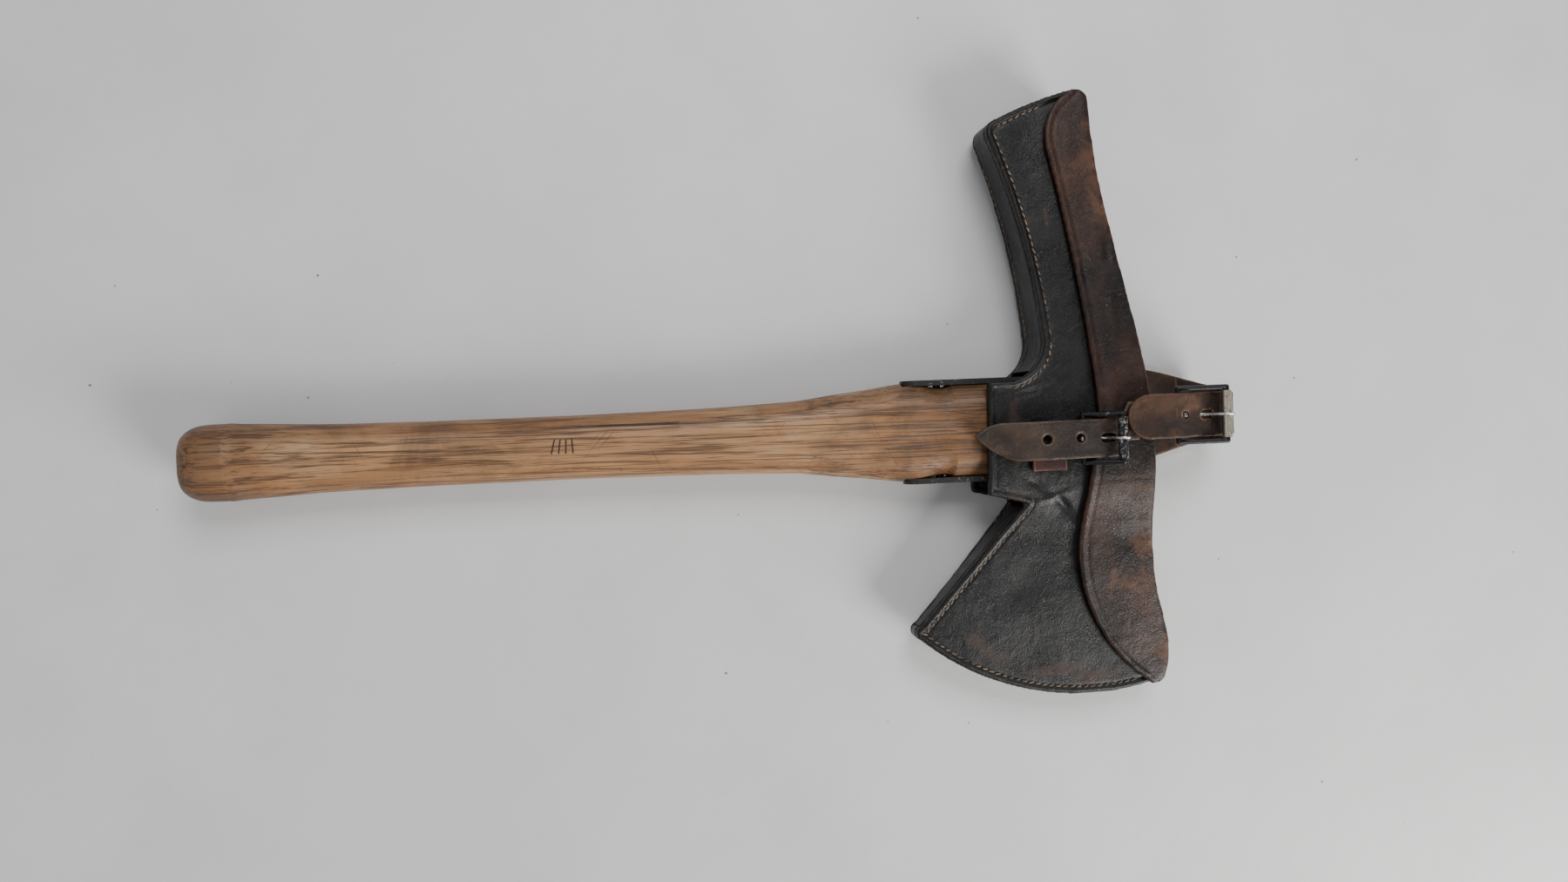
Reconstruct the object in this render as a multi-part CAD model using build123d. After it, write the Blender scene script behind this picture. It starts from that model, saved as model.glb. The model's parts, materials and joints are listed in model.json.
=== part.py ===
"""Sheathed hatchet with a pick, built as separate pieces in mm.

+X runs along the handle towards the top of the head, +Y towards the pick, +Z up from the table.
Shapes are drawn about the middle of the axe's eye and moved once, by PLACE, to the shared origin.
"""
import math
import os

from build123d import *

# overall
LENGTH_BACK = 438.0       # middle of the eye to the butt
MID_Z = 17.0              # height of the axe's middle plane above the table
LEATHER = 3.0             # sheath and flap leather
CLEAR = 0.3               # between a soft piece and what it lies on
REST = 0.15               # under a strap that rests on another piece

# handle: distance from the eye, width along Y, thickness along Z
BUTT = [(-438.0, 28.0, 24.0), (-433.0, 34.6, 31.0), (-426.0, 36.8, 33.5), (-417.0, 37.2, 34.0)]
GRIP = [(-403.0, 35.4, 31.0), (-372.0, 32.6, 27.5), (-325.0, 31.5, 26.0), (-255.0, 31.5, 26.0)]
SHOULDER = [(-190.0, 33.2, 26.4), (-150.0, 36.2, 27.0), (-124.0, 42.0, 27.4), (-98.0, 48.8, 27.4)]
NECK_WOOD = (-66.0, 48.8, 27.4)        # from here the wood runs straight to the eye
NECK_WOOD_END = -24.0
TENON_Y, TENON_Z = 34.0, 19.0
EYE_CLEAR = 0.05          # press-free fit of the tenon in the eye
EYE_BOTTOM = -22.0
KERF, WEDGE_TOP, WEDGE_DEEP = 1.6, 4.4, 30.0

# langets
LANGET_T, LANGET_W, LANGET_SEAT = 2.8, 15.0, 23.6
LANGET_TIP = -91.0
PIN_R, PIN_XS = 2.0, (-72.0, -38.0)

# sheath outline
NECK_X, NECK_TOP, NECK_BOTTOM = -50.0, 24.5, -33.5
PICK_END, PICK_TIP_X = 172.5, -44.0
EDGE_Y, HEEL_X = -139.7, -86.0
MOUTH_X, MOUTH_LEAN = 22.4, 7.0      # mouth line at the eye, and its lean
FLAT_Y = 28.0                         # the panels are flat this far either side of the eye
HALF_EYE, HALF_CHEEK, HALF_EDGE, HALF_PICK = 17.0, 11.0, 4.6, 11.0
CHEEK_Y = -50.0                       # below this the sheath thins evenly to the edge
WALL = 6.0                            # stacked leather of the gussets
GUSSET_FROM, BLADE_FROM, WELT_FROM = 28.5, -39.5, -100.0

# seams
STITCH_PITCH, STITCH_L, STITCH_W, STITCH_H, STITCH_IN = 3.75, 2.7, 0.9, 0.5, 4.0

# closing strap and its buckle (front of the sheath)
STRAP1_W, STRAP1_T, STRAP1_Y = 20.0, 2.5, -6.5
BAR1_X, BUCKLE1_L = -2.0, 17.5
STRAP1_TIP, STRAP1_SPLIT, STRAP1_ROOT = -58.5, 5.5, 27.0
ROOT_SHIFT = 8.0                      # the sewn end lies this much nearer the pick
HOLE1_XS = (-5.7, -23.1)

# belt strap and its buckle (beyond the flap)
STRAP2_W, STRAP2_T, STRAP2_Y = 23.0, 2.6, 3.2
BAR2_X, BUCKLE2_L = 47.5, 24.6
STRAP2_TIP, STRAP2_SPLIT = 19.3, 57.5
HOLE2_XS = (48.6,)

# buckle wire
WIRE_R, ROLLER_R, ROLLER_PLAY, TONGUE_R = 1.4, 2.5, 0.06, 0.75
CHAPE_T, CHAPE_W = 1.6, 15.0

# belt loop
FOLD_X, FOLD_R = 66.0, 20.0           # middle and outer radius of the fold
TAB_TOP, TAB_LOW, LEG_TOP = 28.0, -20.0, 26.0

PLACE = Location(((LENGTH_BACK - FOLD_X - FOLD_R) / 2, -(PICK_END + EDGE_Y) / 2, 0))


def mouth_x(y):
    """The sheath's straight mouth line, which is also the flap's hinge line."""
    return MOUTH_X - y * math.tan(math.radians(MOUTH_LEAN))


def column(face, low=-5.0, high=60.0):
    """A plan outline drawn up through every height."""
    return extrude(Pos(0, 0, low) * face, amount=high - low)


def envelope(grow):
    """The sheath's outer thickness, grown or shrunk along Z, as a bar along X."""
    sides = [(EDGE_Y - 1, HALF_EDGE), (CHEEK_Y, HALF_CHEEK), (-FLAT_Y, HALF_EYE), (FLAT_Y, HALF_EYE)]
    sides.append((PICK_END + 12, HALF_PICK - 0.5))
    top = [(y, MID_Z + half + grow) for y, half in sides]
    low = [(y, MID_Z - half - grow) for y, half in reversed(sides)]
    face = make_face(Polyline(*top, *low, close=True))
    return extrude(Plane.YZ.offset(-120) * face, amount=240)


def half_space(front=True):
    """Everything in front of, or behind, the axe's middle plane."""
    shift = 40 if front else -40
    return Pos(0, 0, MID_Z + shift) * Box(400, 500, 80)


def band(inner, outer, front=True):
    """One sheet between two grown envelopes, on the front or the back."""
    return (envelope(outer) - envelope(inner)) & half_space(front)


# ---------------------------------------------------------------- sheath
def sheath_outline():
    """Plan outline shared by both panels: neck, pick arm, mouth, blade."""
    top_corner = (mouth_x(PICK_END), PICK_END)
    low_corner = (mouth_x(-137.0), -137.0)
    heel = (HEEL_X, -99.0)
    crotch = (-31.0, -38.5)
    return make_face([
        Line((NECK_X, NECK_TOP), (-36, NECK_TOP)),
        ThreePointArc((-36, NECK_TOP), (-24.6, 31.5), (-20.2, 48)),
        ThreePointArc((-20.2, 48), (-28.2, 96), (PICK_TIP_X, 147)),
        ThreePointArc((PICK_TIP_X, 147), (PICK_TIP_X - 0.4, 153), (-39.5, 157.2)),
        ThreePointArc((-39.5, 157.2), (-20, 165.8), top_corner),
        Line(top_corner, low_corner),
        ThreePointArc(low_corner, (-14, EDGE_Y), (-86.5, -107)),
        ThreePointArc((-86.5, -107), (-89.4, -102.4), heel),
        Line(heel, crotch),
        Line(crotch, (NECK_X - 1.5, NECK_BOTTOM)),
        Line((NECK_X - 1.5, NECK_BOTTOM), (NECK_X, NECK_TOP)),
    ])


def wall_ring():
    """The strip of wall inside the outline, open at the mouth."""
    outline = sheath_outline()
    inner = offset(outline, amount=-WALL)
    ring = outline - inner
    for step in (WALL, 2 * WALL):
        ring -= Pos(step, 0, 0) * inner
    return ring


def build_panel(front):
    """Front or back panel of the sheath."""
    return column(sheath_outline()) & band(-LEATHER, 0, front)


def build_wall(low, high):
    """The wall between the panels, from one height on the arm to another."""
    zone = Pos(-20, (low + high) / 2, 0) * Rectangle(200, high - low)
    return column(wall_ring() & zone) & envelope(-LEATHER)


def seam_spots():
    """Middle and angle of every stitch, a little inside the outline."""
    path = offset(sheath_outline(), amount=-STITCH_IN).face().outer_wire()
    count = int(path.length / STITCH_PITCH)
    for step in range(count):
        spot, along = path @ (step / count), path % (step / count)
        on_arm = spot.Y < BLADE_FROM - 2 or (spot.Y > NECK_TOP - STITCH_IN and spot.X > -37)
        open_x = -16 if spot.Y > 0 else 28        # beyond this the flap's lip covers the seam
        if on_arm and spot.X < min(open_x, mouth_x(spot.Y) - 2 * STITCH_IN):
            yield spot, math.degrees(math.atan2(along.Y, along.X))


def build_seam(front):
    """The stitches of one panel, each a short thread on the leather."""
    sheet = band(0, STITCH_H, front)
    stitches = []
    for spot, turn in seam_spots():
        shape = Pos(spot.X, spot.Y) * Rot(0, 0, turn) * SlotOverall(STITCH_L, STITCH_W)
        stitches += (column(shape) & sheet).solids()
    return stitches


# ---------------------------------------------------------------- flap
def flap_back():
    """The flap's outer contour over the top of the head."""
    return Spline((10, 166), (12.7, 132.5), (23.6, 74.3), (34.4, 20.5), (37.6, -40), (40.3, -88), (46.6, -117),
                  (44.6, -134.5))


def flap_side(push=0.0):
    """Everything on the handle's side of the flap's contour, moved along X."""
    edge = Pos(push, 0, 0) * flap_back()
    start, end = edge @ 0, edge @ 1
    return make_face([edge, Polyline(end, (-150, end.Y), (-150, start.Y), start)])


def flap_outline():
    """Plan of the flap's front, from its curved lip to its contour."""
    lip = [
        ThreePointArc((10, 166), (5.5, 172.2), (-3, 170)),
        ThreePointArc((-3, 170), (-12.3, 159.5), (-15, 143)),
        ThreePointArc((-15, 143), (-3.3, 84), (6.6, 8)),
        Line((6.6, 8), (-1.6, -47)),
        ThreePointArc((-1.6, -47), (2.6, -96), (33, -134.6)),
        ThreePointArc((33, -134.6), (40.5, -138), (44.6, -134.5)),
    ]
    return make_face([*lip, flap_back()])


def wall_band():
    """Heights the flap's wall spans: from the back panel's face up to the flap's own front."""
    return (envelope(CLEAR + LEATHER) & half_space(True)) + (envelope(0) & half_space(False))


def build_flap():
    """The flap: front, wall over the head's top, and the strip behind it."""
    front = column(flap_outline()) & band(CLEAR, CLEAR + LEATHER)
    over = column(flap_side() - flap_side(-LEATHER)) & wall_band()
    beyond = Polyline((mouth_x(180) + CLEAR, 180), (mouth_x(-180) + CLEAR, -180), (150, -180), (150, 180), close=True)
    strip = column(flap_side() & make_face(beyond)) & band(-LEATHER, 0, False)
    return front + over + strip


# ---------------------------------------------------------------- axe
def section(x, wide, thick, round_by=0.92):
    """One rounded cross-section of the handle."""
    radius = round_by * min(wide, thick) / 2
    return Plane.YZ.offset(x) * Pos(0, MID_Z) * RectangleRounded(wide, thick, radius)


def station_at(x, known):
    """Width and thickness at x, eased between the known stations without overshoot."""
    for left, right in zip(known, known[1:]):
        if x <= right[0]:
            break
    share = (x - left[0]) / (right[0] - left[0])
    ease = 0.5 * share + 0.5 * share * share * (3 - 2 * share)
    return [a + (b - a) * ease for a, b in zip(left[1:], right[1:])]


def build_handle():
    """Swelling butt, grip and shoulder, with flats for the langets and a kerfed tenon."""
    wood = loft([section(*station) for station in BUTT])
    known = [BUTT[-1], *GRIP, *SHOULDER, NECK_WOOD]
    count = 22
    start, end = BUTT[-1][0], NECK_WOOD[0]
    xs = [start + (end - start) * step / count for step in range(count + 1)]
    wood += loft([section(x, *station_at(x, known)) for x in xs])
    wood += extrude(section(*NECK_WOOD), amount=NECK_WOOD_END - NECK_WOOD[0])
    seat_x = LANGET_TIP - 1
    for side in (1, -1):
        flat = Pos((seat_x - 10) / 2, side * (LANGET_SEAT + 10), MID_Z)
        wood -= flat * Box(-10 - seat_x, 20, LANGET_W + 1)
    tenon_end = head_top(0)
    tenon = extrude(section(NECK_WOOD_END - 2, TENON_Y, TENON_Z, 0.9), amount=tenon_end - NECK_WOOD_END + 2)
    wood = wood + tenon - wedge_solid()
    for x in PIN_XS:
        wood -= pin_hole(x)
    return wood


def head_top(y):
    """Where the head's top face lies, clear of the flap's wall."""
    return 27.8 - 0.07 * y


def wedge_solid():
    """The wedge, thicker towards the end of the tenon."""
    end = head_top(0)
    face = Polyline((end - WEDGE_DEEP, -KERF / 2), (end, -WEDGE_TOP / 2), (end, WEDGE_TOP / 2),
                    (end - WEDGE_DEEP, KERF / 2), close=True)
    wedge = extrude(Plane.XZ * Pos(0, MID_Z) * make_face(face), amount=TENON_Y, both=True)
    return wedge & extrude(section(-30, TENON_Y, TENON_Z, 0.9), amount=80)


def head_plan():
    """Plan of the head: eye, pick towards +Y, flared blade towards -Y."""
    tip, toe = (-27, 152), (36, -125)
    return make_face([
        Line((EYE_BOTTOM + 2, 26), (-12.5, 36)),
        Spline((-12.5, 36), (-12, 60), (-19, 95), tip),
        Spline(tip, (8, 85), (head_top(30), 30)),
        Polyline((head_top(30), 30), (head_top(-40), -40), (32, -88), toe),
        ThreePointArc(toe, (-10, -130), (-75, -104.5)),
        Polyline((-75, -104.5), (-76, -101), (-24.5, -43.8), (EYE_BOTTOM + 2, -37), (EYE_BOTTOM + 2, 26)),
    ])


def build_head():
    """The steel head: plan outline cut to its side profile, with the eye through it."""
    half = [(-131, 0.6), (-108, 2.2), (-60, 5.0), (-48, 6.6), (-31, 11.8), (-25, 13.4), (25, 13.4), (33, 12), (60, 8), (153, 2.4)]
    outline = [(y, MID_Z + h) for y, h in half] + [(y, MID_Z - h) for y, h in reversed(half)]
    side = extrude(Plane.YZ.offset(-120) * make_face(Polyline(*outline, close=True)), amount=240)
    eye = section(-60, TENON_Y + 2 * EYE_CLEAR, TENON_Z + 2 * EYE_CLEAR, 0.9)
    return (column(head_plan()) & side) - extrude(eye, amount=120)


def pin_hole(x):
    """A pin through the handle and both langets."""
    reach = LANGET_SEAT + LANGET_T
    return Pos(x, 0, MID_Z) * Rot(90, 0, 0) * Cylinder(PIN_R, 2 * reach)


def build_langet(side):
    """One steel strap on the handle's edge, running to the underside of the head."""
    long = EYE_BOTTOM + 1.9 - LANGET_TIP
    face = Rectangle(long, LANGET_W)
    face = fillet(face.vertices().group_by(Axis.X)[0], LANGET_W * 0.42)
    strap = extrude(Plane.XZ * Pos(LANGET_TIP + long / 2, MID_Z) * face, amount=LANGET_T / 2, both=True)
    strap = Pos(0, side * (LANGET_SEAT + LANGET_T / 2), 0) * strap
    for x in PIN_XS:
        strap -= pin_hole(x)
    return strap


# ---------------------------------------------------------------- buckles and straps
class Buckle:
    """Sizes of one roller buckle: its chape bar, roller bar and the levels it works at."""

    def __init__(self, bar_x, length, mid_y, width, bar_z, roller_z):
        self.bar_x, self.mid_y, self.bar_z = bar_x, mid_y, bar_z
        self.roller_x, self.roller_z = bar_x + length, roller_z
        self.half = width / 2 + 0.7          # inside half width of the frame

    def across(self, x, z, radius, length):
        """A round bar along Y."""
        return Pos(x, self.mid_y, z) * Rot(90, 0, 0) * Cylinder(radius, length)

    def frame(self):
        """Four wires joined at the corners by balls."""
        side_y = self.half + WIRE_R
        rise = self.roller_z - self.bar_z
        run = self.roller_x - self.bar_x
        tilt = math.degrees(math.atan2(run, rise))
        body = self.across(self.bar_x, self.bar_z, WIRE_R, 2 * side_y)
        body += self.across(self.roller_x, self.roller_z, WIRE_R, 2 * side_y)
        for side in (1, -1):
            y = self.mid_y + side * side_y
            middle = Pos((self.bar_x + self.roller_x) / 2, y, (self.bar_z + self.roller_z) / 2)
            body += middle * Rot(0, tilt, 0) * Cylinder(WIRE_R, math.hypot(run, rise))
            body += Pos(self.bar_x, y, self.bar_z) * Sphere(WIRE_R)
            body += Pos(self.roller_x, y, self.roller_z) * Sphere(WIRE_R)
        return body

    def roller(self):
        """Sleeve that turns on the outer bar."""
        length = 2 * self.half - 0.5
        tube = self.across(self.roller_x, self.roller_z, ROLLER_R, length)
        return tube - self.across(self.roller_x, self.roller_z, WIRE_R + ROLLER_PLAY, length + 2)

    def tongue(self, low_run, rise_x, rise_z):
        """Bent prong: an eyelet on the chape bar, a run under the strap, and up onto the roller."""
        top = self.roller_z + ROLLER_R + TONGUE_R + 0.1
        eye_r = WIRE_R + ROLLER_PLAY
        start = (self.bar_x + eye_r + TONGUE_R, self.mid_y, self.bar_z)
        path = Spline(start, (rise_x - 3.2, self.mid_y, low_run), (rise_x, self.mid_y, rise_z),
                      (self.roller_x - 2.5, self.mid_y, top - 0.5), (self.roller_x + 1.6, self.mid_y, top))
        prong = sweep(Plane(origin=path @ 0, z_dir=path % 0) * Circle(TONGUE_R), path=path)
        eyelet = self.across(self.bar_x, self.bar_z, eye_r + 2 * TONGUE_R, 2.6 * TONGUE_R)
        hole = self.across(self.bar_x, self.bar_z, eye_r, 12)
        tip = Pos(*(path @ 1)) * Sphere(TONGUE_R)
        return (eyelet + prong + tip) - hole

    def chape(self, end_x, floor):
        """Leather folded round the chape bar, its two plies closing up towards end_x."""
        inner = WIRE_R + 0.05
        outer = inner + CHAPE_T
        plies = Polyline((end_x, floor), (self.bar_x, floor), (self.bar_x, self.bar_z + outer),
                         (end_x, floor + 2 * CHAPE_T), close=True)
        body = self.across(self.bar_x, self.bar_z, outer, CHAPE_W)
        body += extrude(Plane.XZ.offset(-self.mid_y) * make_face(plies), amount=CHAPE_W / 2, both=True)
        body -= self.across(self.bar_x, self.bar_z, inner, CHAPE_W + 2)
        slot = Pos(self.bar_x, self.mid_y, self.bar_z + 0.2) * Box(6.4 + 2 * TONGUE_R, 3.6 * TONGUE_R, 9)
        body -= slot
        return body & (Pos(0, 0, floor + 50) * Box(400, 400, 100))


PANEL_TOP = MID_Z + HALF_EYE
FLAP_TOP = PANEL_TOP + CLEAR + LEATHER
CHAPE_OUT = WIRE_R + 0.05 + CHAPE_T
BUCKLE1 = Buckle(BAR1_X, BUCKLE1_L, STRAP1_Y, STRAP1_W, PANEL_TOP + CHAPE_OUT, 45.2)
BUCKLE2 = Buckle(BAR2_X, BUCKLE2_L, STRAP2_Y, STRAP2_W, FLAP_TOP + CHAPE_OUT, 43.4)
TONGUE_OUT = WIRE_R + ROLLER_PLAY + 2 * TONGUE_R
OVER1 = BUCKLE1.bar_z + CHAPE_OUT + REST       # underside of a strap where it passes the chape bar
OVER2 = BUCKLE2.bar_z + CHAPE_OUT + 2 * REST


def ribbon(low_line, thick, tangents=None):
    """Side view of a strap: its underside as a curve in XZ, thickened upwards."""
    low = Spline(*low_line) if tangents is None else Spline(*low_line, tangents=tangents)
    high = Pos(0, thick) * low
    ends = [Line(low @ 0, high @ 0), Line(low @ 1, high @ 1)]
    return make_face([low, high, *ends])


def strap_solid(low_line, thick, plan, tangents=None):
    """A strap as its side view drawn across and trimmed to its plan."""
    side = extrude(Plane.XZ * ribbon(low_line, thick, tangents), amount=120, both=True)
    return side & column(plan, 0, 90)


def strap1_line():
    """Underside of the closing strap, from its sewn end to its tip."""
    return [(STRAP1_ROOT, FLAP_TOP + 0.12), (21, FLAP_TOP + 0.15), (15.5, FLAP_TOP + 0.6), (9.5, 38.7), (BAR1_X, OVER1), (-14, 41.2), (-32, 39.6),
            (-50, 35.2), (STRAP1_TIP - 4, 34.3)]


def build_strap1_root():
    """Closing strap from its seat on the flap, under the roller, to just past the tongue's hole."""
    half, mid = STRAP1_W / 2, STRAP1_Y
    plan = make_face(Polyline((STRAP1_SPLIT + 0.15, mid - half), (17, mid - half), (21, mid - half + ROOT_SHIFT),
                              (STRAP1_ROOT, mid - half + ROOT_SHIFT), (STRAP1_ROOT, mid + half + ROOT_SHIFT),
                              (21, mid + half + ROOT_SHIFT), (17, mid + half), (STRAP1_SPLIT + 0.15, mid + half),
                              close=True))
    plan -= Pos(9.9, mid) * SlotOverall(8.4, 4.2)
    return strap_solid(strap1_line(), STRAP1_T, plan)


def build_strap1_end():
    """Pointed free end of the closing strap, lying over the neck."""
    half, mid, tip = STRAP1_W / 2, STRAP1_Y, STRAP1_TIP
    split = STRAP1_SPLIT - 0.15
    plan = make_face([
        Polyline((tip + 16, mid + half), (split, mid + half), (split, mid - half), (tip + 20, mid - half)),
        ThreePointArc((tip + 20, mid - half), (tip + 8, mid - 4), (tip, mid + 3.5)),
        ThreePointArc((tip, mid + 3.5), (tip + 7, mid + 8.2), (tip + 16, mid + half)),
    ])
    for x in HOLE1_XS:
        plan -= Pos(x, mid + 0.5) * Circle(2.2)
    return strap_solid(strap1_line(), STRAP1_T, plan)


def strap2_line():
    """Underside of the belt strap from the fold, under its roller, to its rounded tip."""
    under = MID_Z + FOLD_R + 3.0 - STRAP2_T
    return [(FOLD_X, under), (60.0, under + 0.9), (BAR2_X, OVER2), (36, OVER2 - 0.3), (26, 42.0),
            (STRAP2_TIP - 3, 40.6)]


def build_strap2_root():
    """Belt strap from the fold to just past its tongue hole."""
    plan = Pos((FOLD_X + STRAP2_SPLIT) / 2, STRAP2_Y) * Rectangle(FOLD_X - STRAP2_SPLIT - 0.3, STRAP2_W)
    plan -= Pos(63.4, STRAP2_Y) * SlotOverall(7.8, 4.2)
    return strap_solid(strap2_line(), STRAP2_T, plan, [(-1, 0), (-1, -0.1)])


def build_strap2_end():
    """Rounded free end of the belt strap, lying over the flap."""
    half, mid, tip = STRAP2_W / 2, STRAP2_Y, STRAP2_TIP
    split = STRAP2_SPLIT - 0.15
    plan = make_face([
        Polyline((tip + 13, mid + half), (split, mid + half), (split, mid - half), (tip + 13, mid - half)),
        ThreePointArc((tip + 13, mid - half), (tip, mid + 0.5), (tip + 13, mid + half)),
    ])
    for x in HOLE2_XS:
        plan -= Pos(x, mid) * Circle(2.1)
    return strap_solid(strap2_line(), STRAP2_T, plan, [(-1, 0), (-1, -0.1)])


# ---------------------------------------------------------------- belt loop
def build_tab():
    """Belt loop: sewn leg on the flap's wall, tab under the belt, and the fold back up."""
    wide = Pos(0, (TAB_TOP + TAB_LOW) / 2) * Rectangle(300, TAB_TOP - TAB_LOW)
    leg = column((flap_side(LEATHER) - flap_side()) & wide, 0, LEG_TOP)
    fold_z = MID_Z + 3.0
    outer = Pos(FOLD_X, fold_z) * Circle(FOLD_R) - Pos(FOLD_X, fold_z) * Circle(FOLD_R - STRAP2_T)
    outer &= Pos(FOLD_X + 50, fold_z) * Rectangle(100, 100)
    ring = extrude(Plane.XZ * outer, amount=120, both=True)
    half, mid = STRAP2_W / 2, STRAP2_Y
    taper = make_face([
        Line((0, TAB_TOP), (50, TAB_TOP)),
        Spline((50, TAB_TOP), (FOLD_X, 24), (FOLD_X + FOLD_R + 1, mid + half + 1.5)),
        Line((FOLD_X + FOLD_R + 1, mid + half + 1.5), (FOLD_X + FOLD_R + 1, mid - half - 1.5)),
        Spline((FOLD_X + FOLD_R + 1, mid - half - 1.5), (FOLD_X, -15.5), (50, TAB_LOW)),
        Line((50, TAB_LOW), (0, TAB_LOW)),
        Line((0, TAB_LOW), (0, TAB_TOP)),
    ])
    strap = column(Pos(FOLD_X, mid) * Rectangle(80, STRAP2_W), fold_z, 60)
    floor = Pos(FOLD_X / 2, 0, LEATHER / 2) * Box(FOLD_X, 120, LEATHER)
    floor = (floor & column(taper)) - column(flap_side(), -5, LEATHER + 5)
    low = ring & column(taper, -5, fold_z)
    return leg + floor + low + (ring & strap)


def rivet(x, y, z, long, head_r=2.6, shank_r=1.2):
    """A domed rivet along X through the loop's leg and the flap's wall."""
    shank = Rot(0, 90, 0) * Cylinder(shank_r, long)
    dome = Pos(long / 2 + 0.45, 0, 0) * Rot(0, 90, 0) * Cylinder(head_r, 0.9)
    dome = fillet(dome.edges().sort_by(Axis.X)[-1], 0.6)
    washer = Pos(-long / 2 - 0.25, 0, 0) * Rot(0, 90, 0) * Cylinder(head_r, 0.5)
    return Pos(x, y, z) * (shank + dome + washer)


def rivet_spots():
    """Middle of each loop rivet: on the flap's wall, near the leg's top corners."""
    for y in (TAB_TOP - 6, TAB_LOW + 6):
        edge = flap_back().edge().intersect(Line((-50, y), (80, y)))
        spot = edge.vertices()[0] if hasattr(edge, "vertices") else edge[0]
        yield spot.X, y, LEG_TOP - 6


def build_keeper():
    """Small folded leather stop beside the chape."""
    low = STRAP1_Y - CHAPE_W / 2 - 8.2
    block = Pos(-19.5, low + 4, PANEL_TOP + 1.1) * Box(18, 8, 2.2)
    return fillet(block.edges().filter_by(Axis.X).sort_by(Axis.Y)[0:2], 0.9)


def build_chape_rivets():
    """Flat rivets holding the front chape to the panel."""
    stack = 2 * CHAPE_T + LEATHER + 0.7
    for y in (STRAP1_Y - 4.5, STRAP1_Y + 4.5):
        yield Pos(-24, y, PANEL_TOP - LEATHER + stack / 2) * Cylinder(1.2, stack)


def build_parts():
    """Every named piece, about the middle of the eye."""
    parts = {
        "front_panel": build_panel(True),
        "back_panel": build_panel(False),
        "pick_gusset": build_wall(GUSSET_FROM, 180),
        "blade_gusset": build_wall(WELT_FROM, BLADE_FROM),
        "edge_welt": build_wall(-160, WELT_FROM),
        "front_seam": build_seam(True),
        "keeper": build_keeper(),
        "front_chape": BUCKLE1.chape(-33, PANEL_TOP),
        "chape_rivets": list(build_chape_rivets()),
        "flap": build_flap(),
        "closing_strap_root": build_strap1_root(),
        "closing_strap_end": build_strap1_end(),
        "front_buckle": BUCKLE1.frame(),
        "front_roller": BUCKLE1.roller(),
        "front_tongue": BUCKLE1.tongue(38.5, 8.9, 40.2),
        "loop_chape": BUCKLE2.chape(STRAP1_ROOT + 0.3, FLAP_TOP),
        "belt_tab": build_tab(),
        "belt_strap_root": build_strap2_root(),
        "belt_strap_end": build_strap2_end(),
        "loop_buckle": BUCKLE2.frame(),
        "loop_roller": BUCKLE2.roller(),
        "loop_tongue": BUCKLE2.tongue(37.6, 62.4, 38.8),
        "axe_handle": build_handle(),
        "axe_head": build_head(),
        "eye_wedge": wedge_solid(),
        "langet_upper": build_langet(1),
        "langet_lower": build_langet(-1),
        "langet_pins": [pin_hole(x) for x in PIN_XS],
    }
    shank = 2 * LEATHER
    rivets = [rivet(x, y, z, shank) for x, y, z in rivet_spots()]
    parts["loop_rivets"] = rivets
    for item in rivets:
        parts["flap"] -= item
        parts["belt_tab"] -= item
    for item in parts["chape_rivets"]:
        parts["front_chape"] -= item
        parts["front_panel"] -= item
    return parts


def main():
    os.makedirs("parts", exist_ok=True)
    for name, shape in build_parts().items():
        solids = shape if isinstance(shape, list) else [shape]
        group = Compound(children=[piece.moved(PLACE) for item in solids for piece in item.solids()])
        export_step(group, f"parts/{name}.step")
        box = group.bounding_box()
        print(name, len(group.solids()), [round(v, 1) for v in (*box.min, *box.max)])


if __name__ == "__main__":
    main()
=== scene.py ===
"""Looks of a sheathed hatchet: worn leather, ash, blackened steel, on a pale table top.

Units are metres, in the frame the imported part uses: +X towards the head's top, +Y towards the pick, +Z up.
Leather pieces are grown from their plain solids, remeshed, rounded and dented, then given a finish.
"""

from __future__ import annotations

import json
import logging
import math
from dataclasses import dataclass, field
from enum import Enum

import bmesh
import bpy
import numpy as np
from mathutils import Matrix, Vector, kdtree, noise
from mathutils.bvhtree import BVHTree

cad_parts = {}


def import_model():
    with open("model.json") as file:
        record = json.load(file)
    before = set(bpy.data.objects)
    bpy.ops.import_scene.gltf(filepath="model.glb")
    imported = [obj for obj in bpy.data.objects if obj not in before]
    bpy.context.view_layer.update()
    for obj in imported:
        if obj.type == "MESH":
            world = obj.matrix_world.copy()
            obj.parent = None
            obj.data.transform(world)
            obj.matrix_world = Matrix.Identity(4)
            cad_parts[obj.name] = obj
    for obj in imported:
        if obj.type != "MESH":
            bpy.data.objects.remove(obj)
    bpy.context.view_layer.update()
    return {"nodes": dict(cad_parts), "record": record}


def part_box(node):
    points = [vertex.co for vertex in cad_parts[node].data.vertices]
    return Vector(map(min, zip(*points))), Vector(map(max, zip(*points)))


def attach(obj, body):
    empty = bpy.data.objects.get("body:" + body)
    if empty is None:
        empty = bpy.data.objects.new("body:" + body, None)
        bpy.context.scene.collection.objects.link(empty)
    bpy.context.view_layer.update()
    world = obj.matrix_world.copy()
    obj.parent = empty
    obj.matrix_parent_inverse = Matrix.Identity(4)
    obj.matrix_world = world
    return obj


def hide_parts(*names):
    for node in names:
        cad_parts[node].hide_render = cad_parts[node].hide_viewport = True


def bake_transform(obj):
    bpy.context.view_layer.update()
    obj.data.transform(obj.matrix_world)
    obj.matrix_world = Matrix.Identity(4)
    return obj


LOG = logging.getLogger("hatchet")
MM = 0.001
Colour = tuple[float, float, float]
HEAD_BENDS = ((-28.0, 0.273), (-50.0, -0.20))  # the cheeks' two ends below the eye, and the slope's turn there


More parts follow.
